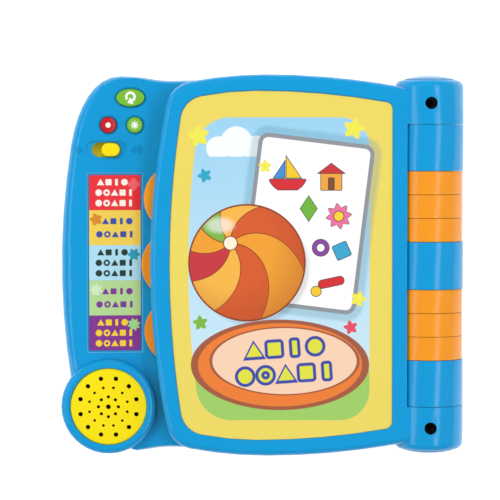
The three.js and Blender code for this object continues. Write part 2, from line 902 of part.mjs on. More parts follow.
// The slide runs level, so its flange keeps under the lowest part of the ceiling that it sweeps.
function volumeSlide() {
  const level = rise(slotX + slideSlotLength / 2 + slideFlange + slideTravel);
  const slotRight = slotX + slideSlotLength / 2;
  const knobX = slotRight - slideKnobLength / 2 - runningGap;
  const knob = loft(stadium(knobX, slotY, slideKnobLength, slideSlotWidth - 2 * runningGap), [
    [0, flangeTop + level - 0.1],
    ...roundedTop(caseHeight + rise(slotX) + slideProud, 1.2, 1, 2),
  ]);
  const flange = block(
    slotX - slideSlotLength / 2 - slideFlange,
    slotRight + slideFlange + slideTravel,
    slotY - slideSlotWidth / 2 - slideFlange,
    slotY + slideSlotWidth / 2 + slideFlange,
    flangeBottom + level,
    flangeTop + level,
  );
  return join(knob, flange);
}

function modeLabel() {
  const low = labelRecess - sheetGap;
  const plan = prism(rectangle(...labelBox(-seatGap), 1.2), partingHeight, 2 * panelHeight);
  return cut(plan.intersect(underCrown(low - labelThickness)), underCrown(low));
}

// Loudspeaker

function grille() {
  const rim = grilleSeat + seatGap;
  const arc = [];
  const steps = 3;
  for (let i = 0; i <= steps; i++) {
    const radius = ((grilleRadius - 1.2) * (steps - i)) / steps;
    arc.push([radius, rim + grilleThickness + grilleDome * (1 - (radius / grilleRadius) ** 2)]);
  }
  let disc = turned(bossX, bossY, [
    [0, rim],
    [grilleRadius, rim],
    [grilleRadius, rim + grilleThickness - 0.8],
    ...arc,
  ], bossFacets);
  const rings = [
    { count: 1, out: 0, hole: 1.7, turn: 0 },
    { count: 8, out: 0.26, hole: 1.2, turn: 0, facets: 6 },
    { count: 12, out: 0.51, hole: 1.02, turn: 15, facets: 6 },
    { count: 12, out: 0.755, hole: 1.6, turn: 15 },
  ];
  for (const { count, out, hole, turn, facets = 8 } of rings)
    for (let i = 0; i < count; i++) {
      const angle = THREE.MathUtils.degToRad(turn + (360 * i) / count);
      const x = bossX + out * grilleRadius * Math.cos(angle);
      const y = bossY + out * grilleRadius * Math.sin(angle);
      disc = cut(disc, post(x, y, hole, rim - 1, bossTop + 2, facets));
    }
  return disc;
}

const speakerFloor = caseFloor + speakerLift;
const speakerTop = bossTop - 2 * bossRounding - seatGap;

function speakerBasket() {
  return turned(bossX, bossY, [
    [magnetRadius - 5, speakerFloor + magnetHeight + seatGap],
    [magnetRadius, speakerFloor + magnetHeight + seatGap],
    [coneRadius + 1, speakerTop - 2.5],
    [coneRadius + basketFlange, speakerTop - 2.5],
    [coneRadius + basketFlange, speakerTop],
    [coneRadius + 1.4, speakerTop],
    [coneRadius + 0.4, speakerTop - 1.6],
    [magnetRadius - 1, speakerFloor + magnetHeight + seatGap + 1.2],
    [magnetRadius - 5, speakerFloor + magnetHeight + seatGap + 1.2],
    [magnetRadius - 5, speakerFloor + magnetHeight + seatGap],
  ], 24);
}

function speakerCone() {
  const low = speakerFloor + magnetHeight + seatGap + 1.6;
  return turned(bossX, bossY, [
    [0, low],
    [6, low],
    [coneRadius, speakerTop - 0.8],
    [coneRadius, speakerTop - 0.1],
    [7, low + 0.9],
    [5.4, low + 2.2],
    [0, low + 3],
  ], 24);
}

const speakerMagnet = () =>
  post(bossX, bossY, magnetRadius, speakerFloor, speakerFloor + magnetHeight, 24);

// Electronics

const polygon = (corners) => corners.map(([x, y]) => new THREE.Vector2(x, y));

function mainBoard() {
  const outline = polygon([
    [boardLeft, boardNear],
    [boardRight, boardNear],
    [boardRight, boardFar],
    [boardLeft + boardCorner, boardFar],
    [boardLeft, boardFar - boardCorner],
  ]);
  return prism(outline, boardHeight, boardHeight + boardThickness);
}

function keypadMat() {
  const low = boardHeight + boardThickness + seatGap;
  const [left, near] = panelPlace(stopButtonX, roundButtonY);
  const [right, far] = panelPlace(repeatX, repeatY);
  const x0 = left - roundButtonRadius - matMargin;
  const x1 = right + repeatHalfLength + seatGap;
  const y0 = near - roundButtonRadius - matMargin / 2;
  const y1 = far + repeatHalfHeight / 2;
  const mat = prism(
    polygon([
      [x0, y0],
      [x1, y0],
      [x1, y1],
      [x0 + matCorner, y1],
      [x0, y1 - matCorner],
    ]),
    low,
    low + matThickness,
  );
  const domes = buttons.map(({ at: [x, y], across, up }) => {
    const flange = flangeBottom + rise(x + across + buttonFlange);
    return post(x, y, up - matDomeInset, low, flange - buttonTravel - seatGap, buttonFacets);
  });
  return join(mat, ...domes);
}

function volumeSwitch() {
  const low = boardHeight + boardThickness + seatGap;
  const high = flangeBottom + rise(slotX + slideSlotLength / 2 + slideFlange + slideTravel) - seatGap;
  return block(slotX - 6.5, slotX + 6.5, slotY - 3, slotY + 3, low, high);
}

function touchFilm() {
  const high = deckUnderside - seatGap;
  const holes = caseScrews.map(([x, y]) => post(x, y, screwWellRadius + 1, 0, caseHeight));
  return cut(prism(pageOutline(filmMargin), high - filmThickness, high), ...holes);
}

// A cell whose contact end faces along X for side 1 and back for side -1.
function battery(side) {
  const y = (side * batteryPitch) / 2;
  const tip = batteryX + side * (bayHalfLength - 2 * seatGap - contactThickness - seatGap);
  const middle = tip - (side * batteryLength) / 2;
  const jacketLength = batteryLength - batteryNub;
  const jacket = new THREE.CylinderGeometry(batteryRadius, batteryRadius, jacketLength, 24);
  jacket.rotateZ(Math.PI / 2);
  jacket.translate(middle - (side * batteryNub) / 2, y, batteryZ);
  const nub = new THREE.CylinderGeometry(batteryNubRadius, batteryNubRadius, batteryNub + 1, 12);
  nub.rotateZ(Math.PI / 2);
  nub.translate(tip - (side * (batteryNub + 1)) / 2, y, batteryZ);
  return join(solidOf(jacket), solidOf(nub));
}

// A coiled contact that narrows from the bay's wall towards the flat end of a cell.
function batterySpring(side) {
  const y = (side * batteryPitch) / 2;
  const base = batteryX - side * (bayHalfLength - 2 * seatGap - contactThickness - springWire / 2);
  const room = 2 * (bayHalfLength - contactThickness) - batteryLength;
  const reach = room - 7 * seatGap - springWire;
  const turns = 2.5;
  const count = 20;
  const points = [];
  for (let i = 0; i <= count; i++) {
    const t = i / count;
    const radius = 4.6 - 1.8 * t;
    const angle = 2 * Math.PI * turns * t;
    points.push(
      new THREE.Vector3(
        base + side * (seatGap + reach * t),
        y + radius * Math.cos(angle),
        batteryZ + radius * Math.sin(angle),
      ),
    );
  }
  const section = new THREE.Shape(ellipse(0, 0, springWire / 2, springWire / 2, 5));
  const geometry = new THREE.ExtrudeGeometry(section, {
    extrudePath: new THREE.CatmullRomCurve3(points),
    steps: 36,
    bevelEnabled: false,
  });
  return solidOf(geometry);
}

// A sheet contact standing against one end wall of the bay.
function batteryContact(side, fromY, toY) {
  const outer = batteryX + side * (bayHalfLength - seatGap);
  const inner = outer - side * contactThickness;
  const low = batteryZ - contactHalfHeight;
  const high = batteryZ + contactHalfHeight;
  return block(Math.min(outer, inner), Math.max(outer, inner), fromY, toY, low, high);
}

// Cover parts

function coverSkin(right) {
  return loft(coverOutline(right), [
    [0, coverParting],
    ...roundedTop(coverTop, coverRounding, coverThickness - coverBackHeight - 0.6, 4),
  ]);
}

const beyondKnuckles = () =>
  join(
    block(-caseWidth, caseWidth, coverKnuckleStart, caseLength, 0, 3 * barrelRadius),
    block(-caseWidth, caseWidth, -caseLength, -coverKnuckleStart, 0, 3 * barrelRadius),
  );

const coverScoop = () => barrel(scoopRadius + runningGap, -coverKnuckleStart, coverKnuckleStart);

// An end knuckle of the cover: a cup round the rod, with a well for its screw.
function coverKnuckle() {
  const corner = [];
  const steps = 3;
  for (let i = 0; i <= steps; i++) {
    const angle = ((Math.PI / 2) * i) / steps;
    corner.push([
      barrelRadius - coverKnuckleRounding * (1 - Math.cos(angle)),
      coverKnuckleEnd - coverKnuckleRounding * (1 - Math.sin(angle)),
    ]);
  }
  return turnedOnHinge([
    [0, coverKnuckleStart],
    [barrelRadius, coverKnuckleStart],
    ...corner,
    [0, coverKnuckleEnd],
  ]);
}

const capRadius = barrelRadius - coverKnuckleRounding - capMargin;
const capPlug = capRadius - capPlugStep;

function coverKnuckleRoom() {
  const inner = barrelRadius - knuckleWall;
  const start = coverKnuckleStart + knuckleWall;
  const end = coverKnuckleEnd - coverKnuckleRounding;
  const room = turnedOnHinge([
    [0, start],
    [inner, start],
    [inner, end - 2],
    [capPlug + seatGap, end + 1.5],
    [capPlug + seatGap, coverKnuckleEnd + 1],
    [0, coverKnuckleEnd + 1],
  ]);
  const hub = barrel(hubRadius, coverKnuckleStart, end, hubFacets);
  const towerRadius = hingeWellRadius + knuckleWall;
  const tower = post(hingeX, hingeScrewY, towerRadius, hingeZ, 2 * barrelRadius + 1, 24);
  return cut(room, hub, tower);
}

const hingeScrewSeat = hingeZ + hubRadius - 0.6;

function hingeHoles() {
  return join(
    post(hingeX, hingeScrewY, hingeWellRadius, hingeScrewSeat, 3 * barrelRadius, 24),
    post(hingeX, hingeScrewY, screwShankRadius + screwGap, hingeZ - hingeWellFloor, hingeScrewSeat + 1),
    barrel(rodRadius + seatGap, 0, coverKnuckleEnd - coverKnuckleRounding + 1, rodFacets),
  );
}

function coverFrontShell() {
  const sheet = cut(coverSkin(coverRight + coverRounding), coverScoop());
  const cheeks = coverSkin(hingeX).intersect(beyondKnuckles());
  const room = cut(
    loft(coverOutline(coverRight - coverRounding, coverWall), [
      [0, coverParting - 1],
      [0, windowLift - windowFloor - 1],
      [1, windowLift - windowFloor],
    ]),
    barrel(scoopRadius + runningGap + coverWall, -caseLength, caseLength),
  );
  const window = loft(windowOutline, [
    [0, windowLift],
    [0, coverTop - windowBevel],
    [-windowBevel, coverTop + 0.02],
  ]);
  const knuckle = coverKnuckle();
  const knuckleRoom = coverKnuckleRoom();
  const holes = hingeHoles();
  let shell = cut(sheet, room);
  const cheek = cut(cheeks, room);
  shell = join(shell, cheek, knuckle, mirrored(knuckle));
  shell = cut(shell, knuckleRoom, mirrored(knuckleRoom), holes, mirrored(holes), window);
  for (const [x, y] of coverScrews) {
    const towerTop = windowLift - windowFloor + 0.4;
    shell = join(shell, post(x, y, screwWellRadius, coverParting - seatGap, towerTop));
    shell = cut(shell, post(x, y, screwShankRadius + screwGap, coverParting - 1, coverUnderside + 6));
  }
  return shell;
}

function coverBackShell() {
  const top = coverParting - seatGap;
  const floor = coverUnderside + coverBackFloor;
  const plate = cut(
    loft(coverOutline(coverRight), [
      [0.8, coverUnderside],
      [0, coverUnderside + 0.8],
      [0, top],
    ]),
    coverScoop(),
    barrel(scoopRadius + runningGap, -caseLength, caseLength),
  );
  const room = cut(
    prism(coverOutline(coverRight - coverRounding, coverWall), floor, top + 1),
    barrel(scoopRadius + runningGap + coverWall, -caseLength, caseLength),
  );
  let shell = cut(plate, room, prism(pageOutline(0), coverUnderside - 1, coverUnderside + pageRecess));
  for (const [x, y] of coverScrews) {
    shell = join(shell, post(x, y, screwWellRadius + 0.6, floor - 0.5, top));
    shell = cut(
      shell,
      post(x, y, screwShankRadius + screwGap, coverUnderside - 1, coverParting + 1),
      post(x, y, screwHeadRadius + 0.3, coverUnderside - 1, coverUnderside + flatHeadWell),
    );
  }
  return shell;
}

function coverPicture() {
  const low = windowLift + sheetGap;
  return prism(insetOutline(windowOutline, seatGap), low, low + pictureThickness);
}

function coverTouchFilm() {
  const low = coverUnderside + coverBackFloor + seatGap;
  return prism(pageOutline(filmMargin), low, low + filmThickness);
}

function hingeRod() {
  const half = coverKnuckleEnd - coverKnuckleRounding;
  const holes = post(hingeX, hingeScrewY, screwShankRadius + screwGap, 0, 3 * barrelRadius, 16);
  return cut(barrel(rodRadius, -half, half, rodFacets), holes, mirrored(holes));
}

function hingeScrew() {
  const shankLength = hubRadius + hingeWellFloor - 1.2;
  return screwForm(hingeX, hingeScrewY, hingeScrewSeat + seatGap, shankLength, 1);
}

function endCap() {
  const dome = [];
  const steps = 4;
  const crest = halfLength - capEdge;
  const edge = coverKnuckleEnd + seatGap + capEdge;
  for (let i = 0; i <= steps; i++) {
    const out = (steps - i) / steps;
    dome.push([capRadius * out, crest - (crest - edge) * out ** 2]);
  }
  return turnedOnHinge([
    [0, coverKnuckleEnd - capPlugDepth],
    [capPlug, coverKnuckleEnd - capPlugDepth],
    [capPlug, coverKnuckleEnd + seatGap],
    [capRadius, coverKnuckleEnd + seatGap],
    ...dome,
  ]);
}

// Page leaves, counted from the case up

const leafZ = (index) => caseHeight + runningGap + index * leafPitch;
const tabY = (index) => (index - (leafCount - 1) / 2) * tabSpacing;

function leafForm(index) {
  const low = leafZ(index);
  const high = low + leafThickness;
  const y = tabY(index);
  const tip = coverLeft + y ** 2 / (2 * coverSideBow) - tabReach;
  const outline = withTab(leafPlate, tip + tabRadius, y, tabRadius);
  const plate = cut(
    loft(outline, [
      [leafEdge, low],
      [0, low + leafEdge],
      [0, high - leafEdge],
      [leafEdge, high],
    ]),
    barrel(scoopRadius, -caseLength, caseLength),
  );
  const spans = [1, -1].map((side) => {
    const near = leafBlock + index * leafSlot;
    return side > 0 ? [near, near + leafKnuckle] : [-near - leafKnuckle, -near];
  });
  let leaf = plate;
  for (const [y0, y1] of spans) {
    const ring = join(
      barrel(leafKnuckleRadius, y0, y1),
      block(hingeX - scoopRadius - 2, hingeX - 12, y0, y1, low, high),
    );
    const hollow = cut(
      barrel(leafKnuckleRadius - knuckleWall, y0 + knuckleWall, y1 + 1),
      barrel(hubRadius, y0 - 1, y1 + 2, hubFacets),
    );
    leaf = join(leaf, cut(ring, hollow));
  }
  return cut(
    leaf,
    barrel(rodBoreRadius, -caseLength, caseLength, rodFacets),
    prism(pageOutline(0), high - pageRecess, high + 1),
    prism(pageOutline(0), low - 1, low + pageRecess),
  );
}

const pageSheet = (low) => prism(pageOutline(seatGap), low, low + sheetThickness);

// Assembly

const book = new THREE.Group();

function add(group, name, solid, material) {
  const made = solid.getMesh();
  const geometry = new THREE.BufferGeometry();
  const positions = new Float32Array(made.numVert * 3);
  for (let i = 0; i < made.numVert; i++)
    positions.set(made.vertProperties.subarray(i * made.numProp, i * made.numProp + 3), i * 3);
  geometry.setAttribute("position", new THREE.BufferAttribute(positions, 3));
  geometry.setIndex(new THREE.BufferAttribute(made.triVerts, 1));
  const mesh = new THREE.Mesh(toCreasedNormals(geometry, Math.PI / 6), material);
  mesh.name = name;
  group.add(mesh);
}

const baseGroup = new THREE.Group();
add(baseGroup, "lower_shell", lowerShell(), materials.caseBlue);
add(baseGroup, "upper_shell", upperShell(), materials.caseBlue);
add(baseGroup, "base_page_sheet", pageSheet(caseHeight - pageRecess + sheetGap), materials.page);
add(baseGroup, "mode_label", modeLabel(), materials.label);
add(baseGroup, "speaker_grille", grille(), materials.switchYellow);
add(baseGroup, "speaker_basket", speakerBasket(), materials.steel);
add(baseGroup, "speaker_cone", speakerCone(), materials.coneBlack);
add(baseGroup, "speaker_magnet", speakerMagnet(), materials.steel);
add(baseGroup, "main_board", mainBoard(), materials.board);
add(baseGroup, "keypad_mat", keypadMat(), materials.rubber);
add(baseGroup, "volume_switch", volumeSwitch(), materials.blackPlastic);
add(baseGroup, "touch_film", touchFilm(), materials.film);
add(baseGroup, "battery_door", batteryDoor(), materials.caseBlue);
add(baseGroup, "battery_door_screw", doorScrew(), materials.steel);
add(baseGroup, "battery_bridge", batteryContact(1, -contactReach, contactReach), materials.steel);
add(baseGroup, "battery_contact_1", batteryContact(-1, contactSpacing, contactReach), materials.steel);
add(baseGroup, "battery_contact_2", batteryContact(-1, -contactReach, -contactSpacing), materials.steel);
for (const [number, side] of [[1, 1], [2, -1]]) {
  add(baseGroup, "battery_" + number, battery(side), materials.batteryJacket);
  add(baseGroup, "battery_spring_" + number, batterySpring(side), materials.steel);
}
caseScrews.forEach(([x, y], i) => {
  const headLow = partingHeight - caseScrewLength / 2 - seatGap - screwHeadHeight;
  add(baseGroup, "case_screw_" + (i + 1), screwForm(x, y, headLow, caseScrewLength), materials.steel);
});
book.add(baseGroup);

const buttonMaterials = [materials.keyGreen, materials.keyRed, materials.keyGreen];
buttons.forEach((button, i) => add(book, button.name, buttonForm(button), buttonMaterials[i]));
add(book, "volume_slide", volumeSlide(), materials.switchYellow);

const coverGroup = new THREE.Group();
add(coverGroup, "cover_front_shell", coverFrontShell(), materials.caseBlue);
add(coverGroup, "cover_back_shell", coverBackShell(), materials.caseBlue);
add(coverGroup, "cover_picture", coverPicture(), materials.picture);
add(coverGroup, "cover_inner_sheet", pageSheet(coverUnderside + sheetGap), materials.page);
add(coverGroup, "cover_touch_film", coverTouchFilm(), materials.film);
add(coverGroup, "hinge_rod", hingeRod(), materials.steel);
const ends = [
  ["far", (solid) => solid],
  ["near", mirrored],
];
for (const [end, placed] of ends) {
  add(coverGroup, "hinge_screw_" + end, placed(hingeScrew()), materials.steel);
  add(coverGroup, "end_cap_" + end, placed(endCap()), materials.caseBlue);
}
coverScrews.forEach(([x, y], i) =>
  add(coverGroup, "cover_screw_" + (i + 1), coverScrew(x, y), materials.steel),
);
book.add(coverGroup);

for (let index = leafCount - 1; index >= 0; index--) {
  const leafGroup = new THREE.Group();
  const name = "page_leaf_" + (leafCount - index);
  const backZ = leafZ(index) + sheetGap;
  const frontZ = backZ + leafThickness - pageRecess;
  add(leafGroup, name, leafForm(index), materials.leafOrange);
  add(leafGroup, name + "_front_sheet", pageSheet(frontZ), materials.page);
  add(leafGroup, name + "_back_sheet", pageSheet(backZ), materials.page);
  book.add(leafGroup);
}

export default book;
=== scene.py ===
import math

import bpy
from mathutils import Matrix, Vector


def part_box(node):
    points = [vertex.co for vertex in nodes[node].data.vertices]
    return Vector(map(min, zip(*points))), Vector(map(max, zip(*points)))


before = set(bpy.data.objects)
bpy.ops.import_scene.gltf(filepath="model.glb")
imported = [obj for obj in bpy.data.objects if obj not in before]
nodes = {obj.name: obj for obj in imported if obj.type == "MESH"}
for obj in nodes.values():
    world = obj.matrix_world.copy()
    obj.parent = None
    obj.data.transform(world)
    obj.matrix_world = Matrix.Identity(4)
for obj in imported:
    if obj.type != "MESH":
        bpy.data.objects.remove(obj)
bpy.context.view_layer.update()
mm = 0.001

# Camera

cameraSetup = {
    "place": (0.0, 0.077, 1.723),
    "aim": (-0.00806, 0.0098, 0.023),
    "lens": 182.4,
    "sensor": 36.0,
    "reach": 20,
}


def makeCamera():
    data = bpy.data.cameras.new("bookCamera")
    data.lens = cameraSetup["lens"]
    data.sensor_width = cameraSetup["sensor"]
    data.clip_end = cameraSetup["reach"]
    camera = bpy.data.objects.new("bookCamera", data)
    bpy.context.scene.collection.objects.link(camera)
    camera.location = cameraSetup["place"]
    ahead = (Vector(cameraSetup["aim"]) - Vector(cameraSetup["place"])).normalized()
    right = ahead.cross(Vector((0, 1, 0))).normalized()
    up = right.cross(ahead)
    turned = Matrix((right, up, -ahead)).transposed()  # the book's far end stays up
    camera.rotation_euler = turned.to_euler()
    bpy.context.scene.camera = camera


makeCamera()
print("camera placed")

# Shader maths


class Value:
    def __init__(self, paint, socket):
        self.paint = paint
        self.socket = socket

    def math(self, operation, *others):
        return self.paint.node("ShaderNodeMath", {"operation": operation}, (self, *others))

    def __add__(self, other):
        return self.math("ADD", other)

    def __sub__(self, other):
        return self.math("SUBTRACT", other)

    def __rsub__(self, other):
        return self.paint.node("ShaderNodeMath", {"operation": "SUBTRACT"}, (other, self))

    def __mul__(self, other):
        return self.math("MULTIPLY", other)

    def __truediv__(self, other):
        return self.math("DIVIDE", other)

    def __neg__(self):
        return self.math("MULTIPLY", -1)

    def __abs__(self):
        return self.math("ABSOLUTE")

    __radd__ = __add__
    __rmul__ = __mul__


class Paint:
    def __init__(self, name):
        self.material = bpy.data.materials.new(name)
        self.material.use_nodes = True
        self.tree = self.material.node_tree
        self.surface = self.tree.nodes["Principled BSDF"]

    def node(self, kind, settings=None, inputs=(), output=0):
        made = self.tree.nodes.new(kind)
        for key, value in (settings or {}).items():
            setattr(made, key, value)
        pairs = inputs.items() if isinstance(inputs, dict) else enumerate(inputs)
        for key, value in pairs:
            self.feed(made.inputs[key], value)
        return Value(self, made.outputs[output])

    def feed(self, socket, value):
        if isinstance(value, Value):
            self.tree.links.new(value.socket, socket)
        elif isinstance(value, tuple) and len(value) == 3 and socket.type == "RGBA":
            socket.default_value = (*value, 1)
        else:
            socket.default_value = value

    def set(self, **values):
        for key, value in values.items():
            self.feed(self.surface.inputs[key.replace("_", " ")], value)

    def place(self):  # x, y and z on the object, in millimetres
        coordinates = self.node("ShaderNodeTexCoord", output="Object")
        inputs = (coordinates, (1 / mm, 1 / mm, 1 / mm))
        scaled = self.node("ShaderNodeVectorMath", {"operation": "MULTIPLY"}, inputs)
        parts = self.tree.nodes.new("ShaderNodeSeparateXYZ")
        self.tree.links.new(scaled.socket, parts.inputs[0])
        self.spot = scaled
        return [Value(self, parts.outputs[i]) for i in range(3)]

    def mix(self, base, other, mask):
        made = self.tree.nodes.new("ShaderNodeMix")
        made.data_type = "RGBA"
        self.feed(made.inputs[0], mask)
        self.feed(made.inputs[6], base)
        self.feed(made.inputs[7], other)
        return Value(self, made.outputs[2])

    def noise(self, scale, detail=2.0, roughness=0.5):
        inputs = {"Vector": self.spot, "Scale": scale, "Detail": detail, "Roughness": roughness}
        return self.node("ShaderNodeTexNoise", None, inputs)

    def clamp(self, value, low=0.0, high=1.0):
        return self.node("ShaderNodeClamp", None, (value, low, high))

    def bump(self, height, distance, strength=1.0, normal=None):
        inputs = {"Strength": strength, "Distance": distance, "Height": height}
        if normal is not None:
            inputs["Normal"] = normal
        return self.node("ShaderNodeBump", None, inputs)

    def fill(self, distance, blur=0.2):  # 1 inside a shape, 0 outside
        return self.clamp(0.5 - distance / blur)

    def least(self, a, b):
        return a.math("MINIMUM", b)

    def most(self, a, b):
        return a.math("MAXIMUM", b)

    def length(self, x, y):
        return (x * x + y * y).math("SQRT")

    def disc(self, x, y, cx, cy, radius):
        return self.length(x - cx, y - cy) - radius

    def oval(self, x, y, cx, cy, across, up):
        return (self.length((x - cx) / across, (y - cy) / up) - 1) * min(across, up)

    def turned(self, x, y, cx, cy, angle):
        c, s = math.cos(math.radians(angle)), math.sin(math.radians(angle))
        px, py = x - cx, y - cy
        return px * c + py * s, py * c - px * s

    def box(self, x, y, cx, cy, across, up, corner=0.0, angle=0.0):
        px, py = self.turned(x, y, cx, cy, angle) if angle else (x - cx, y - cy)
        qx, qy = abs(px) - (across - corner), abs(py) - (up - corner)
        outside = self.length(self.most(qx, 0.0), self.most(qy, 0.0))
        return outside + self.least(self.most(qx, qy), 0.0) - corner

    def star(self, x, y, cx, cy, radius, angle=0.0, points=5, depth=0.52):
        px, py = x - cx, y - cy
        step = 2 * math.pi / points
        around = px.math("ARCTAN2", py) + math.radians(angle)
        folded = abs((around / step).math("FRACT") - 0.5) * 2
        edge = radius * depth + (radius - radius * depth) * folded
        return self.length(px, py) - edge


def colour(code):
    parts = [int(code[i : i + 2], 16) / 255 for i in (0, 2, 4)]
    return tuple(c / 12.92 if c <= 0.04045 else ((c + 0.055) / 1.055) ** 2.4 for c in parts)


def dress(paint, names):
    for name in names:
        slots = nodes[name].data.materials
        for i in range(len(slots)):
            slots[i] = paint.material


# Moulded plastics

plastics = {
    "blue": {"colour": "009ddd", "roughness": 0.2},
    "orange": {"colour": "fb9c1e", "roughness": 0.24},
    "yellow": {"colour": "ffe800", "roughness": 0.3},
    "green": {"colour": "7cc536", "roughness": 0.24},
    "red": {"colour": "d01822", "roughness": 0.24},
}
mouldedFinish = {
    "edgeRadius": 0.35 * mm,
    "mottle": 0.035,
    "cloudScale": 0.03,
    "scuffScale": 0.12,
    "scuff": 0.08,
    "peelScale": 0.35,
    "peelDepth": 0.006 * mm,
    "coat": 0.15,
    "coatRoughness": 0.08,
    "specular": 0.28,
}


def mouldedPlastic(name, extraHeight=None, markings=None):
    spec = plastics[name]
    paint = Paint(name + "Plastic")
    x, y, z = paint.place()
    tone = colour(spec["colour"])
    cloud = paint.noise(mouldedFinish["cloudScale"], 3.0)
    darker = tuple(c * (1 - 2.5 * mouldedFinish["mottle"]) for c in tone)
    base = paint.mix(darker, tone, cloud * 0.6 + 0.4)
    if markings:
        base = markings(paint, x, y, z, base)
    scuff = paint.noise(mouldedFinish["scuffScale"], 4.0)
    rough = spec["roughness"] + (scuff - 0.5) * mouldedFinish["scuff"]
    soft = paint.node("ShaderNodeBevel", {"samples": 4}, {"Radius": mouldedFinish["edgeRadius"]})
    peel = paint.noise(mouldedFinish["peelScale"], 2.0)
    normal = paint.bump(peel, mouldedFinish["peelDepth"], 1.0, soft)
    if extraHeight:
        normal = paint.bump(extraHeight(paint, x, y, z), 1.0, 1.0, normal)
    paint.set(
        Base_Color=base,
        Roughness=rough,
        Normal=normal,
        Coat_Weight=mouldedFinish["coat"],
        Coat_Roughness=mouldedFinish["coatRoughness"],
        Specular_IOR_Level=mouldedFinish["specular"],
    )
    return paint


# The raised loudness signs either side of the volume slide

loudSigns = {
    "y": 77.1,
    "quietX": -123.0,
    "loudX": -84.6,
    "depth": 0.4 * mm,
    "line": 0.5,
    "tone": "0072b8",
    "tint": 0.4,
    "firstArc": 3.0,
    "arcPitch": 1.25,
    "arcBack": 1.6,
}


def loudnessLines(paint, x, y):
    shape = None
    for side, arcs in (("quietX", 1), ("loudX", 3)):
        flip = 1 if arcs > 1 else -1
        px, py = (x - loudSigns[side]) * flip, y - loudSigns["y"]
        body = paint.box(px, py, -2.2, 0, 0.75, 0.9)
        cone = paint.most(abs(py) - (px + 3.2) * 0.85, abs(px + 0.9) - 0.75)
        sign = paint.least(body, cone)
        for i in range(arcs):
            radius = loudSigns["firstArc"] + loudSigns["arcPitch"] * i
            fromBack = px + loudSigns["arcBack"]
            ring = abs(paint.length(fromBack, py) - radius) - loudSigns["line"] / 2
            wedge = paint.most(ring, abs(py) - fromBack * 0.8)
            sign = paint.least(sign, wedge)
        shape = sign if shape is None else paint.least(shape, sign)
    return paint.fill(shape, 0.18)


# The shallow step that the mode label sits in, with a painted highlight along its rim

labelFrame = {
    "margin": 1.25,
    "corner": 0.7,
    "depth": 0.3 * mm,
    "line": 0.22,
    # painted highlight: a pale line mixed in along the rim of the step
    "edgeTone": "8ad6f6",
    "rimHighlightTint": 0.5,
}


def frameDistance(paint, x, y):
    low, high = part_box("mode_label")
    across, up = (high.x - low.x) / mm, (high.y - low.y) / mm
    cx, cy = (high.x + low.x) / 2 / mm, (high.y + low.y) / 2 / mm
    margin = labelFrame["margin"]
    return paint.box(x, y, cx, cy, across / 2 + margin, up / 2 + margin, labelFrame["corner"])


def shellRelief(paint, x, y, z):
    step = paint.fill(frameDistance(paint, x, y), 0.35)
    return loudnessLines(paint, x, y) * loudSigns["depth"] - step * labelFrame["depth"]


def shellMarks(paint, x, y, z, base):
    # painted highlight along the rim of the label step
    edge = paint.fill(abs(frameDistance(paint, x, y)) - labelFrame["line"], 0.3)
    base = paint.mix(base, colour(labelFrame["edgeTone"]), edge * labelFrame["rimHighlightTint"])
    return paint.mix(base, colour(loudSigns["tone"]), loudnessLines(paint, x, y) * loudSigns["tint"])


# Painted shade in the deep wells of the hinge screws: their walls are mixed towards near black below
# the mouth

wells = {"x": 112.0, "y": 108.0, "radius": 4.35, "mouth": 45.0, "bottom": 20.0, "tone": "05080c"}


def wellPaintedShade(paint, x, y, z, base):
    around = paint.length(x - wells["x"], abs(y) - wells["y"]) - wells["radius"]
    depth = paint.clamp((wells["mouth"] - z) * 2) * paint.clamp(z - wells["bottom"])
    # painted shade: the well walls between mouth and bottom turn near black
    return paint.mix(base, colour(wells["tone"]), paint.fill(around, 0.1) * depth)


casePlastic = mouldedPlastic("blue")
panelPlastic = mouldedPlastic("blue", shellRelief, shellMarks)
coverPlastic = mouldedPlastic("blue", None, wellPaintedShade)
dress(casePlastic, ["lower_shell", "battery_door", "cover_back_shell", "end_cap_far", "end_cap_near"])
dress(panelPlastic, ["upper_shell"])
dress(coverPlastic, ["cover_front_shell"])
dress(mouldedPlastic("orange"), ["page_leaf_1", "page_leaf_2", "page_leaf_3"])
dress(mouldedPlastic("yellow"), ["volume_slide", "speaker_grille"])
print("shells and leaves finished")

# Buttons with their printed signs

buttonSigns = {"white": "fbfdf6", "edge": 0.22, "crown": 3.2}


def centreOf(name):
    low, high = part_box(name)
    return [(a + b) / 2 / mm for a, b in zip(low, high)]


def signOn(name, tone, sign):
    cx, cy, _ = centreOf(name)

    def markings(paint, x, y, z, base):
        shape = sign(paint, x - cx, y - cy)
        onTop = paint.clamp((z - (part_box(name)[0].z / mm + buttonSigns["crown"])) * 4)
        ink = paint.fill(shape, buttonSigns["edge"]) * onTop
        return paint.mix(base, colour(buttonSigns["white"]), ink)

    dress(mouldedPlastic(tone, None, markings), [name])


def turningArrow(paint, x, y):
    x = x - 0.1
    ring = abs(paint.length(x, y - 0.6) - 2.75) - 0.85
    gap = paint.box(x, y, -1.6, -2.2, 1.1, 1.3, 0, -38)
    ring = paint.most(ring, -gap)
    px, py = paint.turned(x, y, -0.15, -2.6, 25)
    head = paint.most(abs(py) * 0.8 + px * -0.62 - 1.35, px - 1.3)
    return paint.least(ring, head)


def whiteDot(paint, x, y):
    return paint.length(x, y) - 1.75


def smallSun(paint, x, y):
    step = math.pi / 4
    out = paint.length(x, y)
    turn = x.math("ARCTAN2", y) / step
    aside = abs((turn + 0.5).math("FRACT") - 0.5) * step * out
    rays = paint.most(aside - 0.28, out - 3.1)
    return paint.least(out - 1.75, rays)


signOn("repeat_button", "green", turningArrow)
signOn("stop_button", "red", whiteDot)
signOn("start_button", "green", smallSun)
print("buttons finished")

# Printed cards

printFinish = {
    "roughness": 0.38,
    "coat": 0.15,
    "coatRoughness": 0.2,
    "specular": 0.3,
    "grain": 0.9,
    "grainDepth": 0.004 * mm,
}


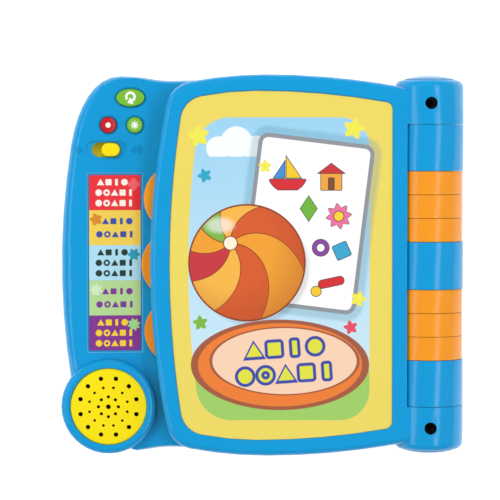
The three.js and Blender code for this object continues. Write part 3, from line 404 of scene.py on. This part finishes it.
def finishPrint(paint, base):
    grain = paint.noise(printFinish["grain"], 2.0)
    tint = paint.mix(base, (1, 1, 1), grain * 0.02)
    paint.set(
        Base_Color=tint,
        Roughness=printFinish["roughness"] + (grain - 0.5) * 0.08,
        Normal=paint.bump(grain, printFinish["grainDepth"]),
        Coat_Weight=printFinish["coat"],
        Coat_Roughness=printFinish["coatRoughness"],
        Specular_IOR_Level=printFinish["specular"],
    )


def rowOfShapes(paint, x, y, cx, cy, count, pitch, size, angle=0.0):
    px, py = paint.turned(x, y, cx, cy, angle)
    shape = None
    for i in range(count):
        local = px - (i - (count - 1) / 2) * pitch
        kind = (i * 2 + count) % 5
        if kind == 0:
            each = paint.length(local, py) - size
        elif kind == 1:
            each = paint.box(local, py, 0, 0, size * 0.92, size * 0.92, size * 0.25)
        elif kind == 2:
            each = paint.most(paint.length(local, py) - size, size * 0.42 - paint.length(local, py))
        elif kind == 3:
            each = paint.box(local, py, 0, 0, size * 0.42, size, size * 0.2)
        else:
            each = paint.most(-py - size * 0.9, py + abs(local) * 1.7 - size)
        shape = each if shape is None else paint.least(shape, each)
    return shape


pictureSpec = {
    "border": "eed95f",
    "skyTop": "9bd3f2",
    "skyLow": "d3edf8",
    "fieldLeft": -49.0,
    "fieldRight": 71.5,
    "fieldLow": -103.0,
    "fieldHigh": 98.5,
    "fieldCorner": 20.0,
    "sideBow": 647.0,
    "hills": ((0.0, "c6e6a0"), (-9.0, "9fce62")),
    "puffs": ((-29, 78, 8.0), (-17, 82, 10.5), (-4, 78, 8.5)),
    "cloudBase": 72.5,
    "cloud": "f6fbff",
}
starList = [
    (-42, 86, 7.5, 10, "f2ec4e"),
    (61, 91, 7.5, -14, "f2ec4e"),
    (-38, 60, 5.0, 22, "22a7c9"),
    (2, 66, 4.6, 0, "f2ec4e"),
    (-41, -38, 5.2, 8, "7ab83a"),
    (64, -22, 5.6, -20, "f2ec4e"),
    (59, -41, 5.0, 14, "e64a5f"),
]


def sky(paint, x, y, field):
    spec = pictureSpec
    tone = paint.mix(colour(spec["skyLow"]), colour(spec["skyTop"]), paint.clamp((y + 100) / 200))
    base = paint.mix(colour(spec["border"]), tone, paint.fill(field))
    for lift, shade in spec["hills"]:
        ridge = y + 66 - lift - (x / 19 + lift).math("SINE") * 7 - (x / 43).math("COSINE") * 5
        base = paint.mix(base, colour(shade), paint.fill(paint.most(ridge, field)))
    for cx, cy, radius in spec["puffs"]:
        puff = paint.most(paint.disc(x, y, cx, cy, radius), spec["cloudBase"] - y)
        base = paint.mix(base, colour(spec["cloud"]), paint.fill(puff))
    return base


cardSpec = {
    "place": (30, 28),
    "half": (36, 54),
    "corner": 4,
    "turn": -7,
    "edge": 2.8,
    "cast": 7.5,
    "castTone": "4f90a8",
    "edgeTone": "8f959b",
    "line": 0.5,
    "lineTone": "2b3036",
}


def cardMotifs(paint, x, y, base):
    spec = cardSpec
    card = paint.box(x, y, *spec["place"], *spec["half"], spec["corner"], spec["turn"])
    base = paint.mix(base, colour(spec["castTone"]), paint.fill(card - spec["cast"], 2.5) * 0.35)
    base = paint.mix(base, colour(spec["edgeTone"]), paint.fill(card - spec["edge"]))
    base = paint.mix(base, colour("ffffff"), paint.fill(card))
    boatX, boatY, houseX, houseY = 17, 58, 46, 56
    deck = paint.box(x, y, boatX, boatY - 4, 12, 3.4, 0.8)
    hull = paint.most(deck, paint.disc(x, y, boatX, boatY + 4, 13))
    mast = paint.most(boatX - 0.8 - x, boatY + 0.5 - y)
    sail = paint.most(mast, (x - boatX + 0.8) * 0.8 + (y - boatY - 0.5) * 0.55 - 7.6)
    luff = paint.most(x - boatX + 2, boatY + 0.5 - y)
    jib = paint.most(luff, (boatX - 2 - x) * 0.9 + (y - boatY - 0.5) * 0.6 - 6.4)
    wall = paint.box(x, y, houseX, houseY, 6.8, 5.6, 0.5)
    roof = paint.most(houseY + 5.6 - y, abs(x - houseX) * 0.75 + (y - houseY - 5.6) - 6.4)
    kite = (abs(x - 31) * 1.35 + abs(y - 38) * 0.9 - 7.4) * 0.7
    motifs = [
        (hull, "d8232e"),
        (sail, "f6c926"),
        (jib, "3f8fd2"),
        (wall, "f4a63a"),
        (roof, "cf2a33"),
        (paint.box(x, y, houseX, houseY - 1.4, 1.7, 3.6, 0.3), "7a4a22"),
        (paint.star(x, y, 51, 33, 8.4, 8, 8, 0.62), "ef6fa0"),
        (paint.disc(x, y, 51, 33, 3.1), "f9d42c"),
        (kite, "6fb536"),
        (paint.disc(x, y, 39, 12, 5.4), "8a3fa0"),
        (paint.disc(x, y, 39, 12, 2.5), "ffffff"),
        (paint.box(x, y, 53, 10, 4.8, 4.8, 0.8, 24), "33a6cf"),
        (paint.box(x, y, 46, -11, 8.5, 2.6, 2.5, 12), "d8232e"),
        (paint.disc(x, y, 36, -17, 3.2), "f6c926"),
    ]
    for shape, tone in motifs:
        base = paint.mix(base, colour(spec["lineTone"]), paint.fill(shape - spec["line"]))
        base = paint.mix(base, colour(tone), paint.fill(shape))
    return base


ballSpec = {
    "x": -10.0,
    "y": 2.0,
    "radius": 38.0,
    "poleX": -21.0,
    "poleY": 15.0,
    "button": 4.6,
    "line": "8e3a14",
    "cast": 3.5,
    "castTone": "33454d",
    "shade": "a8400f",
    "buttonTone": "fdf3d8",
}
ballTones = ["f2a12a", "d95a20", "f7b745", "7cb83f", "f2a12a", "c9303a", "f7b745", "d95a20"]


def beachBall(paint, x, y, base):
    spec = ballSpec
    ball = paint.disc(x, y, spec["x"], spec["y"], spec["radius"])
    cast = paint.disc(x, y, spec["x"] + spec["cast"], spec["y"] - spec["cast"], spec["radius"])
    line = colour(spec["line"])
    base = paint.mix(base, colour(spec["castTone"]), paint.fill(cast, 3.0) * 0.28)
    base = paint.mix(base, line, paint.fill(ball - 1.1))
    out = paint.length(x - spec["poleX"], y - spec["poleY"])
    around = (y - spec["poleY"]).math("ARCTAN2", x - spec["poleX"]) / (2 * math.pi) + out * 0.0035
    sector = around.math("FRACT") * len(ballTones)
    skin = colour(ballTones[0])
    for i, tone in enumerate(ballTones[1:], 1):
        skin = paint.mix(skin, colour(tone), paint.clamp((sector - i) * out * 0.8 + 0.5))
    seam = (0.5 - abs(sector.math("FRACT") - 0.5)) * out * (2 * math.pi / len(ballTones)) - 0.35
    skin = paint.mix(skin, line, paint.fill(seam) * paint.clamp(out - 4))
    skin = paint.mix(skin, colour(spec["buttonTone"]), paint.fill(out - spec["button"]))
    skin = paint.mix(skin, line, paint.fill(abs(out - spec["button"]) - 0.35))
    shade = paint.clamp((paint.length(x - spec["x"] + 10, y - spec["y"] - 10) - 27) / 30)
    skin = paint.mix(skin, colour(spec["shade"]), shade * 0.55)
    gloss = paint.oval(x, y, spec["x"] - 18, spec["y"] + 25, 9, 5)
    skin = paint.mix(skin, (1, 1, 1), paint.fill(gloss, 3.0) * 0.5)
    return paint.mix(base, skin, paint.fill(ball))


plaqueSpec = {
    "outer": (12, -66, 57, 29),
    "inner": (15, -63.5, 48, 22),
    "line": "a4573a",
    "rim": "ee7d2b",
    "ground": "f9d3b5",
    "rows": ((15, -55, 4), (16, -72, 5)),
    "pitch": 13.6,
    "size": 5.4,
    "turn": 4,
    "outline": "3346a6",
    "ink": "e2e23c",
}


def plaque(paint, x, y, base):
    spec = plaqueSpec
    line = colour(spec["line"])
    outer = paint.oval(x, y, *spec["outer"])
    base = paint.mix(base, line, paint.fill(outer - 1.2))
    base = paint.mix(base, colour(spec["rim"]), paint.fill(outer + 1.2))
    inner = paint.oval(x, y, *spec["inner"])
    base = paint.mix(base, line, paint.fill(inner - 0.9))
    base = paint.mix(base, colour(spec["ground"]), paint.fill(inner))
    for cx, cy, count in spec["rows"]:
        signs = rowOfShapes(paint, x, y, cx, cy, count, spec["pitch"], spec["size"], spec["turn"])
        base = paint.mix(base, colour(spec["outline"]), paint.fill(signs - 1.5, 0.4))
        base = paint.mix(base, colour(spec["ink"]), paint.fill(signs + 0.6, 0.4))
    return base


def coverPicture():
    paint = Paint("coverPicture")
    x, y, _ = paint.place()
    spec = pictureSpec
    midX = (spec["fieldLeft"] + spec["fieldRight"]) / 2
    midY = (spec["fieldLow"] + spec["fieldHigh"]) / 2
    bowed = x - (y * y / (2 * spec["sideBow"])) * paint.clamp((midX - x) / 30)
    halfX = (spec["fieldRight"] - spec["fieldLeft"]) / 2
    halfY = (spec["fieldHigh"] - spec["fieldLow"]) / 2
    field = paint.box(bowed, y, midX, midY, halfX, halfY, spec["fieldCorner"])
    base = sky(paint, x, y, field)
    base = cardMotifs(paint, x, y, base)
    base = beachBall(paint, x, y, base)
    base = plaque(paint, x, y, base)
    for cx, cy, size, angle, tone in starList:
        star = paint.star(x, y, cx, cy, size, angle)
        base = paint.mix(base, colour(tone), paint.fill(star))
    finishPrint(paint, base)
    return paint


dress(coverPicture(), ["cover_picture"])
print("cover picture finished")

labelFields = [
    {"ground": "ee2430", "ink": "fff8ee", "badge": "f3606a"},
    {"ground": "f3d34f", "ink": "3549a8", "badge": "e08a1f"},
    {"ground": "aee1f6", "ink": "12301f", "badge": "1f9dba"},
    {"ground": "b4db94", "ink": "7a2d93", "badge": "d3ebc0"},
    {"ground": "80298f", "ink": "fbd31f", "badge": "9bdc8a"},
]
labelRows = {
    "three": ((7.0, 4), (0.0, 5), (-7.0, 5)),
    "two": ((4.4, 4), (-4.4, 5)),
    "pitch": 5.3,
    "size": 2.2,
    "aside": 0.2,
    "firstAside": 1.6,
}


def modeLabel():
    paint = Paint("modeLabel")
    x, y, _ = paint.place()
    low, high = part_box("mode_label")
    left, bottom = low.x / mm, low.y / mm
    width, height = (high.x - low.x) / mm, (high.y - low.y) / mm
    fieldHeight = height / len(labelFields)
    base = colour(labelFields[-1]["ground"])
    for i, spec in enumerate(labelFields):
        top = bottom + height - i * fieldHeight
        cx, cy = left + width / 2, top - fieldHeight / 2
        strip = paint.fill(abs(y - cy) - fieldHeight / 2, 0.12)
        base = paint.mix(base, colour(spec["ground"]), strip)
        side = -1 if i % 2 else 1
        badge = paint.star(x, y, cx + side * 12.6, cy + 5.6, 4.4, 15 * i, 4 + i, 0.62)
        base = paint.mix(base, colour(spec["badge"]), paint.fill(badge))
        for lift, count in labelRows["two" if i % 2 else "three"]:
            aside = labelRows["firstAside"] if lift > 3 else labelRows["aside"]
            pitch, size = labelRows["pitch"], labelRows["size"]
            blocks = rowOfShapes(paint, x, y, cx - side * aside, cy + lift, count, pitch, size)
            base = paint.mix(base, colour(spec["ink"]), paint.fill(blocks, 0.3))
    finishPrint(paint, base)
    return paint


dress(modeLabel(), ["mode_label"])

# Each page's ground, accent and turn of the motifs

pageTones = {
    "base_page_sheet": ("bfe3f5", "f7c948", 0.0),
    "page_leaf_3_front_sheet": ("fbe3a2", "e8503a", 1.0),
    "page_leaf_3_back_sheet": ("cdeab0", "5aa7dc", 2.0),
    "page_leaf_2_front_sheet": ("f8cfd6", "7ab83a", 3.0),
    "page_leaf_2_back_sheet": ("d9d0ef", "f08a2c", 4.0),
    "page_leaf_1_front_sheet": ("bfe9e2", "d8232e", 5.0),
    "page_leaf_1_back_sheet": ("fbdcb5", "3aa0c8", 6.0),
    "cover_inner_sheet": ("cfe2f8", "8a3fa0", 7.0),
}
pageGrid = {
    "pitchX": 44.0,
    "pitchY": 46.0,
    "tile": 17.5,
    "startX": -54.0,
    "startY": -92.0,
    "paper": "f6f2e2",
    "card": "fffdf6",
    "line": "3a3f46",
}


def pageSheet(name):
    ground, accent, turn = pageTones[name]
    paint = Paint(name + "Print")
    x, y, _ = paint.place()
    grid = pageGrid
    across = (x - grid["startX"]) / grid["pitchX"]
    up = (y - grid["startY"]) / grid["pitchY"]
    column, row = across.math("FLOOR"), up.math("FLOOR")
    px = (across - column - 0.5) * grid["pitchX"]
    py = (up - row - 0.5) * grid["pitchY"]
    inside = paint.box(x, y, 12, 0, 66, 92, 12)
    pick = ((column * 3 + row * 5 + turn * 1.7) / 7).math("FRACT")
    field = paint.box(x, y, 9.7, 0, 69, 110, 16)
    base = paint.mix(colour(grid["paper"]), colour(ground), paint.fill(field))
    wave = abs(y - (x / 14 + turn).math("SINE") * 5 - 100) - 3.5
    ribbon = paint.most(wave, paint.box(x, y, 9.7, 0, 66, 106, 8))
    base = paint.mix(base, colour(accent), paint.fill(ribbon))
    tile = paint.most(paint.box(px, py, 0, 0, grid["tile"], grid["tile"], 4), inside)
    base = paint.mix(base, colour(grid["card"]), paint.fill(tile))
    frameLine = abs(tile + 1.2) - 0.5
    base = paint.mix(base, colour(accent), paint.fill(frameLine))
    hues = paint.node("ShaderNodeCombineColor", {"mode": "HSV"}, (pick, 0.72, 0.86))
    disc = paint.length(px, py) - 9.5
    star = paint.star(px, py, 0, 0, 11, 0)
    block = paint.box(px, py, 0, 0, 8.5, 8.5, 2, 20)
    first = paint.clamp((pick - 0.34) * 50)
    second = paint.clamp((pick - 0.67) * 50)
    shape = disc * (1 - first) + star * (first * (1 - second)) + block * second
    shape = paint.most(shape, tile + 3)
    base = paint.mix(base, colour(grid["line"]), paint.fill(shape - 0.5))
    base = paint.mix(base, hues, paint.fill(shape))
    finishPrint(paint, base)
    return paint


for sheetName in pageTones:
    dress(pageSheet(sheetName), [sheetName])
print("label and pages finished")

# Inner parts

platedStarts = ("case_screw", "cover_screw", "battery_door_screw")
platedStarts += ("battery_bridge", "battery_contact", "battery_spring")
platedNodes = ["speaker_basket", "speaker_magnet", "hinge_rod"]
platedNodes += [name for name in nodes if name.startswith(platedStarts)]
innerFinishes = {
    "plated": {"colour": "b9bdc2", "metal": 1.0, "roughness": 0.32},
    # painted shade: the hinge screw heads are made near-black steel so the bottoms of their wells read
    # as shade
    "blackened": {"colour": "15171a", "metal": 1.0, "roughness": 0.45},
    "board": {"colour": "1f6238", "metal": 0.0, "roughness": 0.5},
    "film": {"colour": "b7a46a", "metal": 0.0, "roughness": 0.4},
    "silicone": {"colour": "d6d6d0", "metal": 0.0, "roughness": 0.7},
    "switchBody": {"colour": "1d1e20", "metal": 0.0, "roughness": 0.5},
    "cone": {"colour": "0c0c0d", "metal": 0.0, "roughness": 0.95},
    "jacket": {"colour": "3c444c", "metal": 0.6, "roughness": 0.35},
}
finishedNodes = {
    "plated": platedNodes,
    # painted shade at the bottom of the hinge screw wells
    "blackened": ["hinge_screw_far", "hinge_screw_near"],
    "board": ["main_board"],
    "film": ["touch_film", "cover_touch_film"],
    "silicone": ["keypad_mat"],
    "switchBody": ["volume_switch"],
    "cone": ["speaker_cone"],
    "jacket": ["battery_1", "battery_2"],
}


def innerMaterial(name):
    spec = innerFinishes[name]
    paint = Paint(name + "Finish")
    paint.place()
    tone = colour(spec["colour"])
    grain = paint.noise(0.4, 4.0)
    paint.set(
        Base_Color=paint.mix(tuple(c * 0.8 for c in tone), tone, grain),
        Metallic=spec["metal"],
        Roughness=spec["roughness"] + (grain - 0.5) * 0.12,
        Normal=paint.bump(paint.noise(1.6, 3.0), 0.02 * mm),
    )
    dress(paint, finishedNodes[name])


for finishName in innerFinishes:
    innerMaterial(finishName)
print("inner parts finished")

# Rounded shading on the moulded forms

shading = {"weld": 1e-6, "sharpAngle": 33.0}


def smoothShading(piece):
    for face in piece.data.polygons:
        face.use_smooth = True
    weld = piece.modifiers.new("weld", "WELD")
    weld.merge_threshold = shading["weld"]
    split = piece.modifiers.new("crease", "EDGE_SPLIT")
    split.split_angle = math.radians(shading["sharpAngle"])
    weighted = piece.modifiers.new("even", "WEIGHTED_NORMAL")
    weighted.keep_sharp = True


for piece in nodes.values():
    smoothShading(piece)

# Studio

studio = {
    "floorSize": 6.0,
    "floorTone": "f2f3f4",
    "worldTone": (1.0, 1.0, 1.0),
    "worldStrength": 0.39,
    "floorGlow": 0.6,
}
lamps = [
    {"name": "leftBox", "place": (-1.5, 0.1, 1.3), "size": (2.0, 0.4), "power": 6.5},
    {"name": "rightBox", "place": (0.86, 0.0, 1.5), "size": (2.0, 0.42), "power": 9.0},
    {"name": "topBox", "place": (-0.5, 1.5, 1.6), "size": (1.4, 1.0), "power": 15.5, "fill": True},
    {"name": "edgeBox", "place": (1.9, 0.0, 0.7), "size": (2.0, 1.3), "power": 8.0, "fill": True},
    {"name": "sideFill", "place": (-1.5, -0.2, 1.1), "size": (2.0, 1.0), "power": 6.0, "fill": True},
]


def makeFloor():
    half = studio["floorSize"] / 2
    mesh = bpy.data.meshes.new("studioFloor")
    corners = [(-half, -half, 0), (half, -half, 0), (half, half, 0), (-half, half, 0)]
    mesh.from_pydata(corners, [], [(0, 1, 2, 3)])
    floor = bpy.data.objects.new("studioFloor", mesh)
    bpy.context.scene.collection.objects.link(floor)
    paint = Paint("studioFloor")
    paint.set(Base_Color=colour(studio["floorTone"]), Roughness=0.9)
    white = {"Color": (1, 1, 1), "Strength": studio["floorGlow"]}
    glow = paint.node("ShaderNodeEmission", None, white)
    path = paint.tree.nodes.new("ShaderNodeLightPath")
    rays = [Value(paint, path.outputs[f"Is {ray} Ray"]) for ray in ("Camera", "Glossy", "Transmission")]
    seen = paint.most(paint.most(rays[0], rays[1]), rays[2])  # gloss shows the pale floor too
    both = paint.tree.nodes.new("ShaderNodeAddShader")
    paint.tree.links.new(paint.surface.outputs[0], both.inputs[0])
    paint.tree.links.new(glow.socket, both.inputs[1])
    chosen = paint.tree.nodes.new("ShaderNodeMixShader")
    paint.tree.links.new(seen.socket, chosen.inputs[0])
    paint.tree.links.new(paint.surface.outputs[0], chosen.inputs[1])
    paint.tree.links.new(both.outputs[0], chosen.inputs[2])
    output = paint.tree.nodes["Material Output"]
    paint.tree.links.new(chosen.outputs[0], output.inputs[0])
    mesh.materials.append(paint.material)


def makeWorld():
    world = bpy.data.worlds.new("studioWorld")
    bpy.context.scene.world = world
    world.use_nodes = True
    tree = world.node_tree
    back = tree.nodes["Background"]
    back.inputs["Color"].default_value = (*studio["worldTone"], 1)
    back.inputs["Strength"].default_value = studio["worldStrength"]


def makeLamp(spec):
    data = bpy.data.lights.new(spec["name"], "AREA")
    data.shape = "RECTANGLE"
    data.size, data.size_y = spec["size"]
    data.energy = spec["power"]
    lamp = bpy.data.objects.new(spec["name"], data)
    lamp.visible_glossy = not spec.get("fill", False)  # a fill lamp leaves no band on the gloss
    lamp.location = spec["place"]
    look = -Vector(spec["place"])
    lamp.rotation_euler = look.to_track_quat("-Z", "Y").to_euler()
    bpy.context.scene.collection.objects.link(lamp)


makeFloor()
makeWorld()
for lampSpec in lamps:
    makeLamp(lampSpec)
bpy.context.scene.view_settings.view_transform = "Standard"
print("studio finished")
